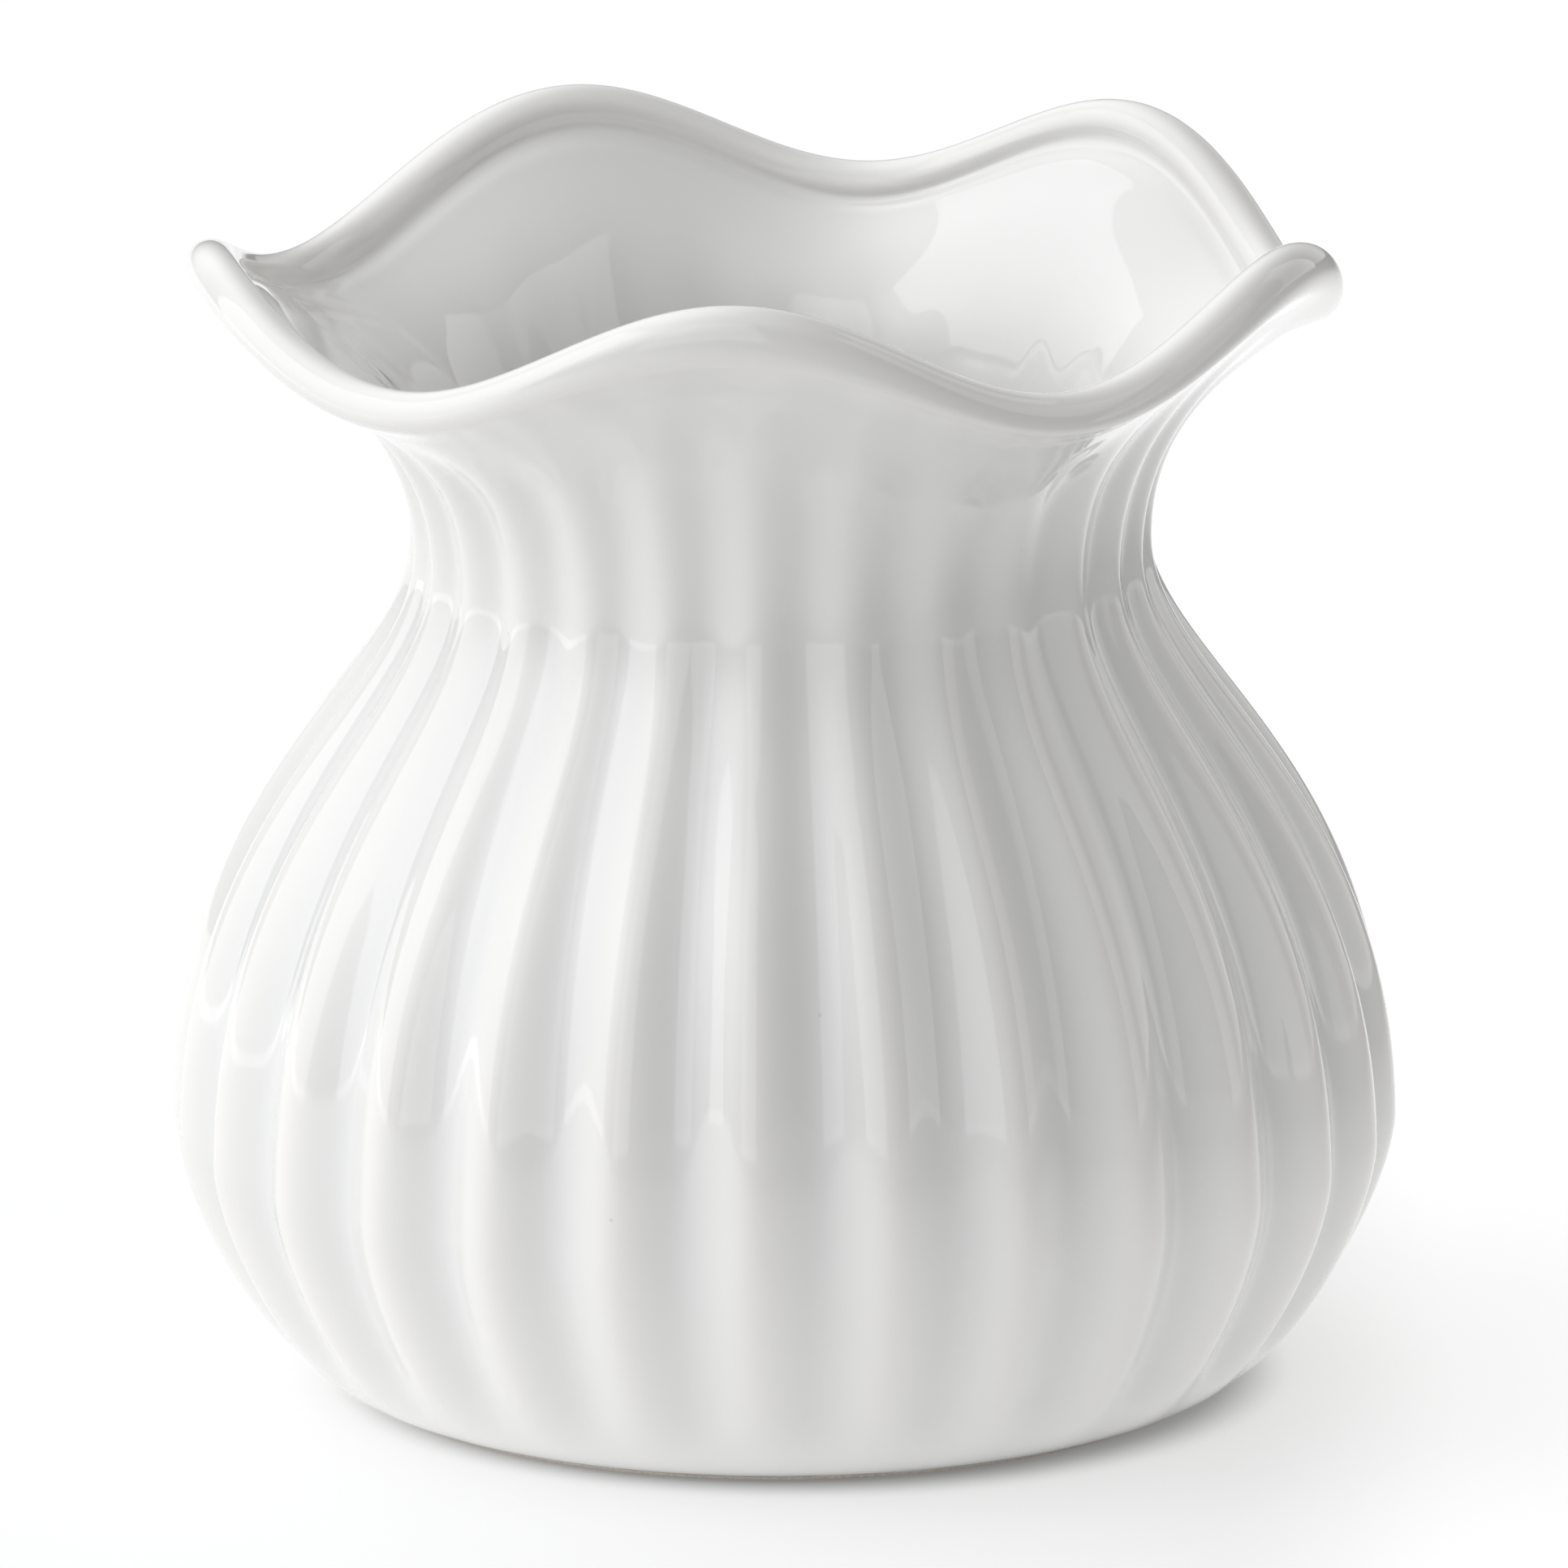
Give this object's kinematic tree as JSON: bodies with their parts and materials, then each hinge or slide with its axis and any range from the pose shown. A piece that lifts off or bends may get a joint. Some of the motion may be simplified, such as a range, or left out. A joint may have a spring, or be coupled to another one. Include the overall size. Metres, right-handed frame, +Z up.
{
  "type": "vase",
  "caption": "Round glazed ceramic flower vase with a ribbed belly, a narrower neck and a flared, ruffled rim with a rolled lip, on soft pads under the foot.",
  "frame": {"origin": "on the surface the vase stands on, under the middle of the foot", "axes": "+Z up along the vase's axis, -Y the front that the picture shows, +X to its right"},
  "size_m": [0.1498, 0.1498, 0.1497],
  "materials": {
    "glazed_ceramic": "white gloss glaze",
    "foot_pad": "soft matte"
  },
  "bodies": {
    "root": {"vase_body": "glazed_ceramic", "foot_pad_1": "foot_pad", "foot_pad_2": "foot_pad", "foot_pad_3": "foot_pad", "foot_pad_4": "foot_pad"}
  },
  "joints": []
}
